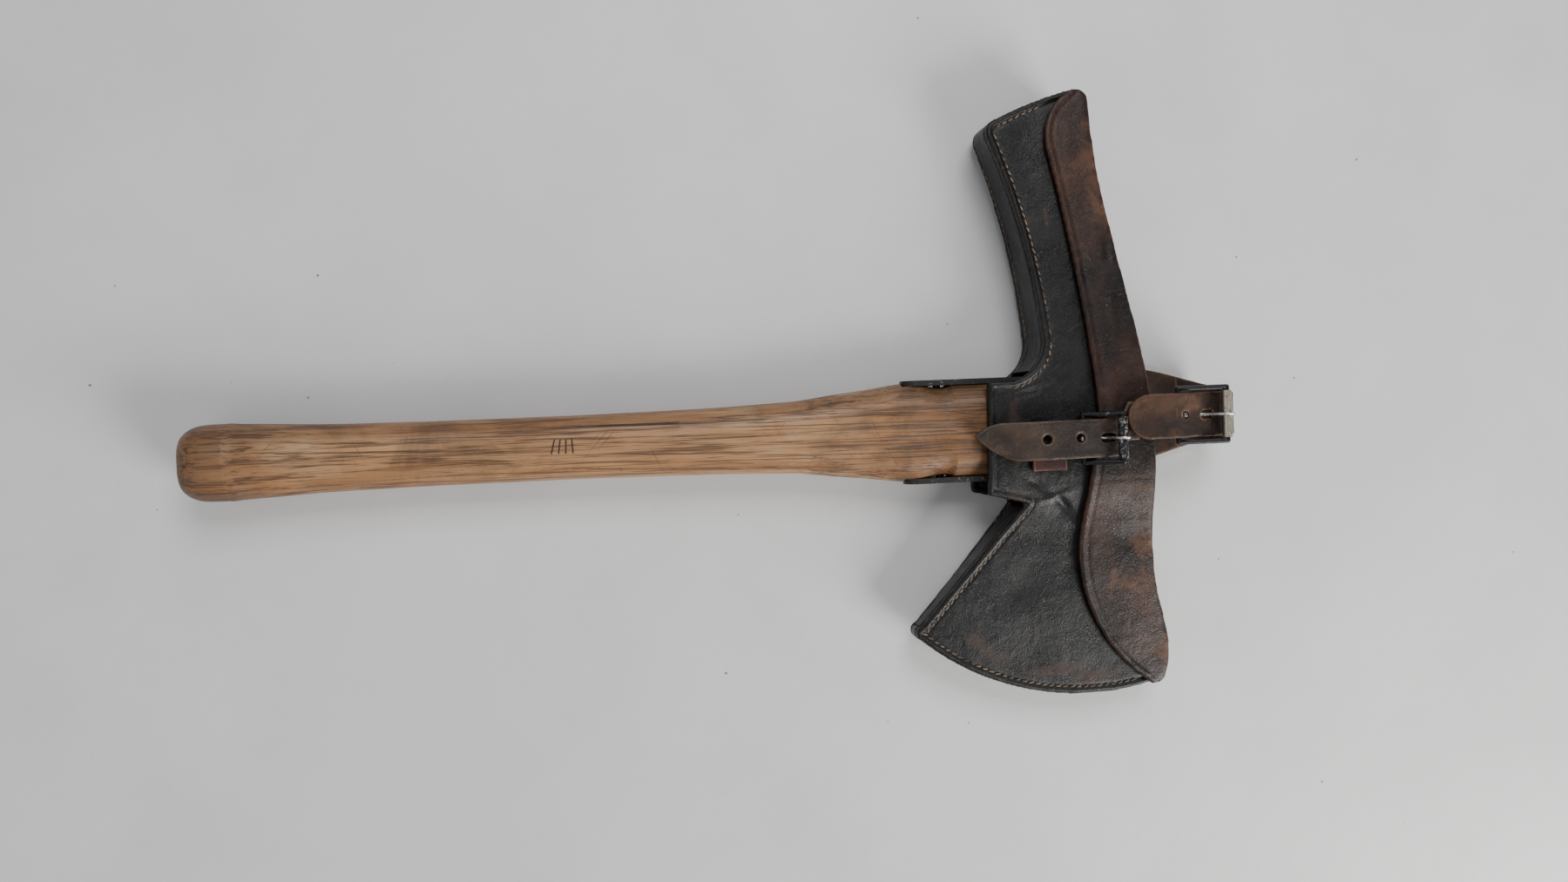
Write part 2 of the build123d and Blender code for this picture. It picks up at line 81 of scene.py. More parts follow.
# ---------------------------------------------------------------------------- shader graph helper
class Graph:
    """A material's node tree with short calls for the nodes used here."""

    def __init__(self, name: str) -> None:
        """Starts an empty principled material.

        Args:
            name: the material's name.
        """
        self.material = bpy.data.materials.new(name)
        self.material.use_nodes = True
        self.tree = self.material.node_tree
        self.tree.nodes.clear()
        self.out = self.tree.nodes.new("ShaderNodeOutputMaterial")
        self.shader = self.tree.nodes.new("ShaderNodeBsdfPrincipled")
        self.link(self.shader.outputs[0], self.out.inputs[0])
        self.coords = self.tree.nodes.new("ShaderNodeTexCoord").outputs["Object"]

    def link(self, source: bpy.types.NodeSocket, target: bpy.types.NodeSocket) -> None:
        """Joins two sockets.

        Args:
            source: output socket.
            target: input socket.
        """
        self.tree.links.new(source, target)

    def put(self, value: object, socket: bpy.types.NodeSocket) -> None:
        """Links a socket, or sets a constant straight on it.

        Args:
            value: an output socket, a number or a colour.
            socket: the input to fill.
        """
        if isinstance(value, bpy.types.NodeSocket):
            self.link(value, socket)
        elif isinstance(value, tuple) and len(value) == 3 and socket.type == "RGBA":
            socket.default_value = (*value, 1.0)
        else:
            socket.default_value = value

    def stretch(self, scale: tuple[float, float, float], turn: float = 0.0,
                move: float = 0.0) -> bpy.types.NodeSocket:
        """Object coordinates scaled per axis, turned about Z.

        Args:
            scale: factor along each axis.
            turn: turn about Z in degrees.
            move: shift along every axis, to reseed a pattern.

        Returns:
            The vector output.
        """
        spin = self.tree.nodes.new("ShaderNodeMapping")
        self.link(self.coords, spin.inputs["Vector"])
        spin.inputs["Rotation"].default_value = (0, 0, math.radians(turn))
        node = self.tree.nodes.new("ShaderNodeMapping")
        self.link(spin.outputs[0], node.inputs["Vector"])
        node.inputs["Scale"].default_value = scale
        node.inputs["Location"].default_value = (move, move, move)
        return node.outputs[0]

    def noise(self, scale: float, detail: float = 4.0, rough: float = 0.55, vector: object = None,
              twist: float = 0.0) -> bpy.types.NodeSocket:
        """Fractal noise between 0 and 1.

        Args:
            scale: cells per metre.
            detail: octaves.
            rough: strength of the finer octaves.
            vector: coordinates, or None for object coordinates.
            twist: distortion.

        Returns:
            The factor output.
        """
        node = self.tree.nodes.new("ShaderNodeTexNoise")
        self.link(vector or self.coords, node.inputs["Vector"])
        node.inputs["Scale"].default_value = scale
        node.inputs["Detail"].default_value = detail
        node.inputs["Roughness"].default_value = rough
        node.inputs["Distortion"].default_value = twist
        return node.outputs[0]

    def cells(self, scale: float, edges: bool = False) -> bpy.types.NodeSocket:
        """Voronoi cells.

        Args:
            scale: cells per metre.
            edges: distance to the cell's edge in place of its middle.

        Returns:
            The distance output.
        """
        node = self.tree.nodes.new("ShaderNodeTexVoronoi")
        if edges:
            node.feature = "DISTANCE_TO_EDGE"
        self.link(self.coords, node.inputs["Vector"])
        node.inputs["Scale"].default_value = scale
        return node.outputs["Distance"]

    def ramp(self, value: object, low: float, high: float) -> bpy.types.NodeSocket:
        """Smoothly maps low..high to 0..1, clamped. low may be above high.

        Args:
            value: the input factor.
            low: input that gives 0.
            high: input that gives 1.

        Returns:
            The mapped factor.
        """
        node = self.tree.nodes.new("ShaderNodeMapRange")
        node.interpolation_type = "SMOOTHSTEP"
        flip = low > high
        self.put(value, node.inputs["Value"])
        node.inputs["From Min"].default_value = min(low, high)
        node.inputs["From Max"].default_value = max(low, high)
        node.inputs["To Min"].default_value = 1.0 if flip else 0.0
        node.inputs["To Max"].default_value = 0.0 if flip else 1.0
        return node.outputs[0]

    def math(self, kind: str, a: object, b: object = 0.0) -> bpy.types.NodeSocket:
        """One arithmetic step.

        Args:
            kind: Blender's operation name.
            a: first value.
            b: second value.

        Returns:
            The result.
        """
        node = self.tree.nodes.new("ShaderNodeMath")
        node.operation = kind
        self.put(a, node.inputs[0])
        self.put(b, node.inputs[1])
        return node.outputs[0]

    def mix(self, factor: object, a: object, b: object) -> bpy.types.NodeSocket:
        """Mixes two colours.

        Args:
            factor: share of the second colour.
            a: first colour.
            b: second colour.

        Returns:
            The mixed colour.
        """
        node = self.tree.nodes.new("ShaderNodeMix")
        node.data_type = "RGBA"
        sockets = [s for s in node.inputs if s.enabled]
        self.put(factor, sockets[0])
        self.put(a, sockets[1])
        self.put(b, sockets[2])
        return [s for s in node.outputs if s.enabled][0]

    def attribute(self, name: str) -> bpy.types.NodeSocket:
        """A number stored on the mesh.

        Args:
            name: the attribute's name.

        Returns:
            Its factor output.
        """
        node = self.tree.nodes.new("ShaderNodeAttribute")
        node.attribute_name = name
        return node.outputs["Fac"]

    def bump(self, height: object, depth: float, strength: float = 1.0,
             under: object = None) -> bpy.types.NodeSocket:
        """A bumped normal.

        Args:
            height: height factor.
            depth: height of factor 1, in metres.
            strength: share of the bump.
            under: normal to add to.

        Returns:
            The normal output.
        """
        node = self.tree.nodes.new("ShaderNodeBump")
        node.inputs["Strength"].default_value = strength
        node.inputs["Distance"].default_value = depth
        self.put(height, node.inputs["Height"])
        if under is not None:
            self.link(under, node.inputs["Normal"])
        return node.outputs[0]

    def finish(self, colour: object, rough: object, normal: object, metal: object = 0.0,
               sheen: float = 0.0) -> bpy.types.Material:
        """Fills the principled shader.

        Args:
            colour: base colour.
            rough: roughness.
            normal: bumped normal.
            metal: metallic share.
            sheen: sheen weight.

        Returns:
            The material.
        """
        self.put(colour, self.shader.inputs["Base Color"])
        self.put(rough, self.shader.inputs["Roughness"])
        self.put(metal, self.shader.inputs["Metallic"])
        self.shader.inputs["Sheen Weight"].default_value = sheen
        self.link(normal, self.shader.inputs["Normal"])
        return self.material


# ---------------------------------------------------------------------------- finishes
@dataclass(frozen=True)
class Leather:
    """Old vegetable-tanned leather: grain, dents, rubbed edges, scratches and dry cracks."""

    name: str
    base: Colour
    deep: Colour
    rubbed: Colour
    grey: Colour
    rough: float = 0.52
    wear: float = 0.5
    dry: float = 0.3
    gloss: float = 0.34
    raw: Colour = (0.19, 0.105, 0.055)

    def build(self) -> bpy.types.Material:
        """Builds the material.

        Returns:
            The leather material.
        """
        g = Graph(self.name)
        cloud = g.noise(22, 6, 0.62)
        blot = g.noise(70, 7, 0.7, twist=0.6)
        scuff, dark, rim = g.attribute("scuff"), g.attribute("dark"), g.attribute("rim")
        colour = g.mix(g.ramp(cloud, 0.38, 0.62), self.deep, self.base)
        rub = g.math("ADD", blot, g.math("MULTIPLY", cloud, 0.5))
        rub = g.math("ADD", rub, g.math("MULTIPLY", scuff, 0.34))
        worn = g.ramp(rub, 0.94 - 0.2 * self.wear, 1.16 - 0.2 * self.wear)
        colour = g.mix(g.math("MULTIPLY", worn, 0.85), colour, self.rubbed)
        haze = g.ramp(g.noise(140, 8, 0.75), 0.56, 0.78)
        colour = g.mix(g.math("MULTIPLY", haze, 0.22), colour, self.grey)
        # darker blotches plus each patch's dark share: random tone, with painted shade on the dented patches
        # and painted shadow beside the flap's edge
        dark_blotch_and_shade = g.ramp(g.math("ADD", g.math("MULTIPLY", blot, 0.8), dark), 0.55, 1.05)
        colour = g.mix(g.math("MULTIPLY", dark_blotch_and_shade, 0.88), colour, self.deep)
        lines = None
        for turn, seed, least in ((28, 1.3, 0.70), (-35, 4.1, 0.71), (78, 7.7, 0.70), (52, 3.3, 0.72)):
            streak = g.ramp(g.noise(1, 2, 0.4, g.stretch((26, 1500, 200), turn, seed)), least, least + 0.05)
            keep = g.ramp(g.noise(40, 1, 0.5, g.stretch((1, 1, 1), 0, seed)), 0.48, 0.58)
            streak = g.math("MULTIPLY", streak, keep)
            lines = streak if lines is None else g.math("MAXIMUM", lines, streak)
        colour = g.mix(g.math("MULTIPLY", lines, 0.7), colour, self.rubbed)
        ragged = g.math("ADD", rim, g.math("MULTIPLY", g.math("SUBTRACT", blot, 0.5), 0.0030))
        edge = g.ramp(ragged, 0.0014, 0.0003)
        colour = g.mix(g.math("MULTIPLY", edge, 0.15 + 0.5 * self.wear), colour, self.rubbed)
        dry = g.math("ADD", g.noise(430, 6, 0.7, None, 1.2), g.math("MULTIPLY", scuff, 0.13))
        split = g.ramp(dry, 0.70, 0.76)
        split = g.math("MULTIPLY", split, g.ramp(scuff, 0.45, 0.8))
        colour = g.mix(split, colour, self.raw)
        crack = g.ramp(g.cells(620, True), 0.045, 0.0)
        crack = g.math("MULTIPLY", crack, g.ramp(g.noise(55, 3), 0.45, 0.65))
        colour = g.mix(g.math("MULTIPLY", crack, self.dry), colour, self.deep)
        pebble = g.cells(1150)
        fine = g.noise(2300, 3, 0.6)
        normal = g.bump(g.math("ADD", g.math("MULTIPLY", pebble, 0.7), fine), 0.00022, 0.55)
        normal = g.bump(g.noise(240, 5, 0.65), 0.0006, 0.5, normal)
        normal = g.bump(g.noise(46, 3, 0.5), 0.0016, 0.4, normal)
        normal = g.bump(g.math("ADD", g.math("ADD", lines, crack), split), -0.00025, 0.6, normal)
        rough = g.math("ADD", g.math("MULTIPLY", g.noise(90, 6, 0.65), 0.5), self.rough - 0.25)
        rough = g.math("ADD", rough, g.math("MULTIPLY", worn, 0.14))
        rough = g.math("SUBTRACT", rough, g.math("MULTIPLY", edge, 0.12))
        g.shader.inputs["Specular IOR Level"].default_value = self.gloss
        return g.finish(colour, rough, normal, sheen=0.0)


@dataclass(frozen=True)
class Ash:
    """Oiled ash handle: long dark grain, medullary flecks, hand polish, scratches and grime."""

    name: str
    light: Colour
    warm: Colour
    dark: Colour
    dirty_from: float = 0.055
    marks_at: tuple[float, float] = (-0.0905, -0.0155)

    def build(self) -> bpy.types.Material:
        """Builds the material.

        Returns:
            The wood material.
        """
        g = Graph(self.name)
        broad = g.noise(1.0, 5, 0.6, g.stretch((5.0, 44, 44), -0.6, 0.37), 0.4)
        patchy = g.noise(11, 5, 0.6, None, 0.6)
        colour = g.mix(g.ramp(broad, 0.32, 0.68), self.warm, self.light)
        colour = g.mix(g.math("MULTIPLY", g.ramp(patchy, 0.5, 0.66), 0.6), colour, (0.47, 0.20, 0.06))
        pale = g.ramp(g.noise(26, 4, 0.6, g.stretch((0.5, 1, 1), 0, 2.6)), 0.56, 0.7)
        colour = g.mix(g.math("MULTIPLY", pale, 0.45), colour, (0.53, 0.36, 0.21))
        rings = g.noise(1.0, 4, 0.62, g.stretch((4.2, 210, 210), 0.5, 4.4), 0.5)
        ring = g.ramp(g.math("ABSOLUTE", g.math("SUBTRACT", rings, 0.5)), 0.05, 0.0)
        colour = g.mix(g.math("MULTIPLY", ring, 0.75), colour, self.dark)
        strand = g.ramp(g.noise(1.0, 6, 0.7, g.stretch((9, 900, 900), 0.3, 3.1)), 0.5, 0.72)
        colour = g.mix(g.math("MULTIPLY", strand, 0.8), colour, self.dark)
        pore = g.ramp(g.noise(1.0, 2, 0.5, g.stretch((42, 1700, 1700), -0.4, 8.2)), 0.6, 0.7)
        colour = g.mix(g.math("MULTIPLY", pore, 0.7), colour, self.dark)
        split = g.ramp(g.noise(1.0, 3, 0.45, g.stretch((3.4, 300, 300), 0.8, 5.5)), 0.68, 0.715)
        colour = g.mix(g.math("MULTIPLY", split, 0.9), colour, (0.012, 0.007, 0.004))
        grime = g.ramp(g.noise(19, 7, 0.7, None, 0.5), 0.47, 0.72)
        colour = g.mix(g.math("MULTIPLY", grime, 0.6), colour, (0.045, 0.020, 0.010))
        down_handle = self.along_handle(g)
        wander = g.math("ADD", down_handle, g.math("MULTIPLY", g.math("SUBTRACT", g.noise(34, 5), 0.5), 0.05))
        near_head = g.ramp(wander, self.dirty_from, self.dirty_from + 0.06)
        colour = g.mix(g.math("MULTIPLY", near_head, 0.5), colour, (0.024, 0.012, 0.007))
        near_butt = g.ramp(wander, -0.170, -0.262)
        colour = g.mix(g.math("MULTIPLY", near_butt, 0.62), colour, (0.055, 0.026, 0.012))
        colour = g.mix(self.marks(g), colour, (0.025, 0.012, 0.007))
        scratch = None
        for turn, seed in ((62, 2.2), (-48, 9.4), (8, 6.1)):
            line = g.ramp(g.noise(1, 1, 0.4, g.stretch((30, 1200, 300), turn, seed)), 0.72, 0.76)
            keep = g.ramp(g.noise(26, 1, 0.5, g.stretch((1, 1, 1), 0, seed)), 0.52, 0.6)
            line = g.math("MULTIPLY", line, keep)
            scratch = line if scratch is None else g.math("MAXIMUM", scratch, line)
        colour = g.mix(g.math("MULTIPLY", scratch, 0.5), colour, (0.05, 0.025, 0.014))
        normal = g.bump(g.math("ADD", strand, pore), -0.00016, 0.6)
        normal = g.bump(g.math("ADD", scratch, split), -0.0003, 0.7, normal)
        normal = g.bump(g.noise(60, 3, 0.5), 0.0006, 0.3, normal)
        rough = g.math("ADD", g.math("MULTIPLY", g.noise(50, 5), 0.3), 0.3)
        return g.finish(colour, rough, normal)

    def marks(self, g: Graph) -> bpy.types.NodeSocket:
        """Four short strokes cut side by side into the handle's front.

        Args:
            g: the graph to add to.

        Returns:
            1 in the strokes.
        """
        node = g.tree.nodes.new("ShaderNodeSeparateXYZ")
        g.link(g.stretch((1, 1, 1), 0, 0), node.inputs[0])
        total = None
        for number in range(4):
            x = self.marks_at[0] + 0.0031 * number
            rise = g.math("SUBTRACT", node.outputs[1], self.marks_at[1])
            lean = g.math("MULTIPLY", rise, 0.25 - 0.1 * number)
            off = g.math("ABSOLUTE", g.math("SUBTRACT", g.math("SUBTRACT", node.outputs[0], x), lean))
            high = g.math("ABSOLUTE", rise)
            stroke = g.math("MULTIPLY", g.ramp(off, 0.0006, 0.0002), g.ramp(high, 0.0040, 0.0030))
            total = stroke if total is None else g.math("MAXIMUM", total, stroke)
        return g.math("MULTIPLY", total, g.ramp(node.outputs[2], 0.018, 0.022))

    @staticmethod
    def along_handle(g: Graph) -> bpy.types.NodeSocket:
        """Distance along the handle.

        Args:
            g: the graph to add to.

        Returns:
            Object X, in metres.
        """
        node = g.tree.nodes.new("ShaderNodeSeparateXYZ")
        g.link(g.coords, node.inputs[0])
        return node.outputs[0]


@dataclass(frozen=True)
class Metal:
    """Metal under paint, rust or plate: the coat is worn through in patches."""

    name: str
    bare: Colour
    coat: Colour
    spots: Colour
    bare_share: float = 0.5
    rough: float = 0.35
    coat_metal: float = 0.2
    scale: float = 420.0
    soft: float = 0.08

    def build(self) -> bpy.types.Material:
        """Builds the material.

        Returns:
            The metal material.
        """
        g = Graph(self.name)
        patch = g.noise(self.scale, 6, 0.68, None, 0.8)
        middle = 0.76 - 0.42 * self.bare_share
        through = g.ramp(patch, middle - 0.5 * self.soft, middle + 0.5 * self.soft)
        speck = g.ramp(g.noise(self.scale * 2.4, 4, 0.6), 0.58, 0.7)
        colour = g.mix(through, self.coat, self.bare)
        colour = g.mix(g.math("MULTIPLY", speck, 0.6), colour, self.spots)
        metal = g.math("MULTIPLY", g.math("SUBTRACT", 1.0, g.math("MULTIPLY", speck, 0.7)),
                       g.math("ADD", g.math("MULTIPLY", through, 1.0 - self.coat_metal), self.coat_metal))
        rough = g.math("ADD", g.math("MULTIPLY", g.noise(900, 4, 0.6), 0.28), self.rough - 0.1)
        rough = g.math("ADD", rough, g.math("MULTIPLY", speck, 0.25))
        normal = g.bump(through, -0.00008, 0.5)
        normal = g.bump(g.noise(1500, 4, 0.65), 0.00012, 0.5, normal)
        return g.finish(colour, rough, normal, metal)


@dataclass(frozen=True)
class Thread:
    """Waxed linen thread with a lay and grubby patches."""

    name: str
    clean: Colour
    grubby: Colour

    def build(self) -> bpy.types.Material:
        """Builds the material.

        Returns:
            The thread material.
        """
        g = Graph(self.name)
        colour = g.mix(g.ramp(g.noise(75, 5, 0.6), 0.42, 0.64), self.clean, self.grubby)
        colour = g.mix(g.ramp(g.noise(900, 3), 0.5, 0.7), colour, self.grubby)
        normal = g.bump(g.noise(1, 2, 0.5, g.stretch((2600, 900, 900), 40)), 0.0003, 0.8)
        return g.finish(colour, 0.85, normal, sheen=0.2)


@dataclass(frozen=True)
class TableTop:
    """White painted table with faint specks and smudges."""

    name: str = "table_top"
    paint: Colour = (0.70, 0.695, 0.69)

    def build(self) -> bpy.types.Material:
        """Builds the material.

        Returns:
            The table material.
        """
        g = Graph(self.name)
        tone = g.mix(g.ramp(g.noise(9, 6, 0.6), 0.35, 0.7), self.paint, tuple(0.93 * c for c in self.paint))
        speck = g.ramp(g.cells(85), 0.075, 0.03)
        tone = g.mix(g.math("MULTIPLY", speck, g.ramp(g.noise(60, 2), 0.60, 0.66)), tone, (0.16, 0.13, 0.10))
        normal = g.bump(g.noise(160, 5, 0.6), 0.0004, 0.3)
        return g.finish(tone, 0.5, normal)


class Finish(Enum):
    """Every finish, by the record's slot name, with two finer ones used inside a slot."""

    sheath_leather = Leather("sheath_leather", (0.0075, 0.0068, 0.0068), (0.0026, 0.0023, 0.0023),
                             (0.036, 0.021, 0.014), (0.026, 0.024, 0.024), 0.39, 0.32, 0.4)
    flap_leather = Leather("flap_leather", (0.036, 0.0140, 0.0080), (0.0065, 0.0034, 0.0026),
                           (0.088, 0.038, 0.019), (0.048, 0.029, 0.022), 0.39, 0.62, 0.5)
    strap_leather = Leather("strap_leather", (0.070, 0.044, 0.030), (0.017, 0.011, 0.009),
                            (0.130, 0.078, 0.048), (0.085, 0.068, 0.056), 0.44, 0.62, 0.6)
    belt_leather = Leather("belt_leather", (0.086, 0.042, 0.023), (0.017, 0.009, 0.006),
                           (0.170, 0.088, 0.045), (0.090, 0.056, 0.038), 0.6, 0.75, 0.8, 0.28)
    keeper_leather = Leather("keeper_leather", (0.090, 0.030, 0.022), (0.030, 0.011, 0.008),
                             (0.200, 0.095, 0.070), (0.130, 0.070, 0.052), 0.6, 0.7, 0.5)
    thread = Thread("thread", (0.215, 0.145, 0.080), (0.030, 0.019, 0.012))
    handle_wood = Ash("handle_wood", (0.490, 0.280, 0.135), (0.270, 0.120, 0.042), (0.040, 0.017, 0.007))
    wedge_wood = Ash("wedge_wood", (0.42, 0.27, 0.14), (0.27, 0.16, 0.08), (0.1, 0.05, 0.03), 0.4)
    head_steel = Metal("head_steel", (0.30, 0.30, 0.30), (0.17, 0.16, 0.155), (0.12, 0.06, 0.035), 0.6,
                       0.34, 0.9, 60, 0.34)
    langet_steel = Metal("langet_steel", (0.24, 0.23, 0.23), (0.018, 0.014, 0.014), (0.06, 0.028, 0.018),
                         0.3, 0.4)
    black_wire = Metal("black_wire", (0.46, 0.45, 0.43), (0.010, 0.010, 0.011), (0.03, 0.018, 0.012), 0.24,
                       0.28, 0.3)
    worn_roller = Metal("worn_roller", (0.42, 0.42, 0.42), (0.045, 0.043, 0.042), (0.02, 0.017, 0.015), 0.5,
                        0.3, 0.9, 520)
    nickel_roller = Metal("nickel_roller", (0.58, 0.53, 0.43), (0.34, 0.27, 0.17), (0.05, 0.035, 0.02), 0.8,
                          0.3, 1.0, 420)
    bright_wire = Metal("bright_wire", (0.72, 0.71, 0.68), (0.10, 0.095, 0.09), (0.05, 0.03, 0.02), 0.85,
                        0.24, 1.0, 600)
    rivet_metal = Metal("rivet_metal", (0.5, 0.46, 0.38), (0.09, 0.07, 0.05), (0.03, 0.02, 0.015), 0.5,
                        0.35, 0.8, 700)


class Wardrobe:
    """Builds each finish once and dresses pieces in it."""

    def __init__(self) -> None:
        """Starts with nothing built."""
        self.built: dict[str, bpy.types.Material] = {}

    def of(self, slot: str) -> bpy.types.Material:
        """A slot's material.

        Args:
            slot: the record's slot name.

        Returns:
            The material.
        """
        if slot not in self.built:
            self.built[slot] = Finish[slot].value.build()
        return self.built[slot]

    def stage_top(self) -> bpy.types.Material:
        """The table's material, which is no slot of the part.

        Returns:
            The material.
        """
        if "table_top" not in self.built:
            self.built["table_top"] = TableTop().build()
        return self.built["table_top"]

    def dress(self, obj: bpy.types.Object, slot: str) -> None:
        """Gives a piece one finish.

        Args:
            obj: the piece.
            slot: the record's slot name.
        """
        obj.data.materials.clear()
        obj.data.materials.append(self.of(slot))


# ---------------------------------------------------------------------------- leather grown from the solids
def surface_tree(obj: bpy.types.Object) -> BVHTree:
    """A search tree over an object's faces.

    Args:
        obj: a mesh object at the origin.

    Returns:
        The tree.
    """
    mesh = bmesh.new()
    mesh.from_mesh(obj.data)
    tree = BVHTree.FromBMesh(mesh)
    mesh.free()
    return tree


def merged_copy(name: str, nodes: tuple[str, ...], cad: dict[str, bpy.types.Object],
                meets: tuple[str, ...] = (), gap: float = 0.45 * MM) -> tuple[bpy.types.Object, list[Vector]]:
    """Copies some nodes into one new object, closing the thin gaps where two of them meet end to end.

    Args:
        name: the new object's name.
        nodes: CAD nodes to copy.
        cad: the frame's nodes by name.
        meets: nodes of other pieces that these run into end to end.
        gap: widest gap that is closed.

    Returns:
        The new object, at the origin, and the points along its free sharp edges.
    """
    trees = {node: surface_tree(cad[node]) for node in nodes + meets}
    whole, points = bmesh.new(), []
    for node in nodes:
        part = bmesh.new()
        part.from_mesh(cad[node].data)
        others = [tree for other, tree in trees.items() if other != node]
        points.extend(p for p in sharp_edge_points(part)
                      if not any(tree.find_nearest(p, 0.6 * MM)[0] is not None for tree in others))
        for vertex in part.verts:
            for tree in others:
                near, _, _, distance = tree.find_nearest(vertex.co, gap)
                if near is not None and distance > 1e-7:
                    vertex.co += (near - vertex.co) * (1.0 + 0.25 * MM / distance)
        data = bpy.data.meshes.new("part")
        part.to_mesh(data)
        part.free()
        whole.from_mesh(data)
        bpy.data.meshes.remove(data)
    data = bpy.data.meshes.new(name)
    whole.to_mesh(data)
    whole.free()
    obj = bpy.data.objects.new(name, data)
    bpy.context.scene.collection.objects.link(obj)
    return obj, points


def sharp_edge_points(source: bmesh.types.BMesh, angle: float = 40.0, step: float = 0.6 * MM) -> list[Vector]:
    """Points along the sharp edges of a solid.

    Args:
        source: the plain solid, left as it is.
        angle: least angle between the edge's two faces, in degrees.
        step: distance between points.

    Returns:
        The points.
    """
    mesh = source.copy()
    bmesh.ops.remove_doubles(mesh, verts=mesh.verts, dist=1e-6)
    points: list[Vector] = []
    for edge in mesh.edges:
        if len(edge.link_faces) == 2 and edge.calc_face_angle(0) > math.radians(angle):
            a, b = edge.verts[0].co, edge.verts[1].co
            count = max(1, int((b - a).length / step))
            points.extend(a.lerp(b, i / count) for i in range(count + 1))
    mesh.free()
    return points


def fold_points(points: list[Vector], reach: float = 9.0 * MM, above: float = 20.0 * MM) -> list[Vector]:
    """Those rim points of the flap that lie along its fold over the head's top.

    Args:
        points: points on the flap's sharp edges.
        reach: how far from the outermost point of its row a point counts as the fold.
        above: lowest height of the flap's front.

    Returns:
        The points on the fold.
    """
    rows: dict[int, float] = {}
    for p in points:
        key = round(p.y / (4 * MM))
        rows[key] = max(rows.get(key, -1.0), p.x)
    return [p for p in points if p.z < above or p.x > rows[round(p.y / (4 * MM))] - reach]


def apply_modifiers(obj: bpy.types.Object) -> None:
    """Bakes an object's modifiers into its mesh.

    Args:
        obj: the object.
    """
    graph = bpy.context.evaluated_depsgraph_get()
    baked = bpy.data.meshes.new_from_object(obj.evaluated_get(graph))
    obj.modifiers.clear()
    obj.data = baked


def point_tree(points: list[Vector]) -> kdtree.KDTree:
    """A search tree over points.

    Args:
        points: the points.

    Returns:
        The balanced tree.
    """
    tree = kdtree.KDTree(max(1, len(points)))
    for index, point in enumerate(points):
        tree.insert(point, index)
    tree.balance()
    return tree


@dataclass(frozen=True)
class Patch:
    """A rubbed, darkened or dented place, an ellipse in plan, measured from the middle of the eye; the
    darkening is painted shade on dented patches and beside the flap's edge.
    """

    x: float
    y: float
    long: float
    wide: float
    turn: float = 0.0
    scuff: float = 0.0
    dark: float = 0.0
    push: float = 0.0
    fray: float = 0.0

    def share(self, point: Vector, eye: Vector) -> float:
        """How much of the patch a point gets.

        Args:
            point: the point.
            eye: middle of the eye.

        Returns:
            1 in the middle, falling to 0 outside.
        """
        dx, dy = point.x - eye.x - self.x * MM, point.y - eye.y - self.y * MM
        turn = math.radians(self.turn)
        u = (dx * math.cos(turn) + dy * math.sin(turn)) / (self.long * MM)
        v = (dy * math.cos(turn) - dx * math.sin(turn)) / (self.wide * MM)
        return math.exp(-2.0 * (u * u + v * v))


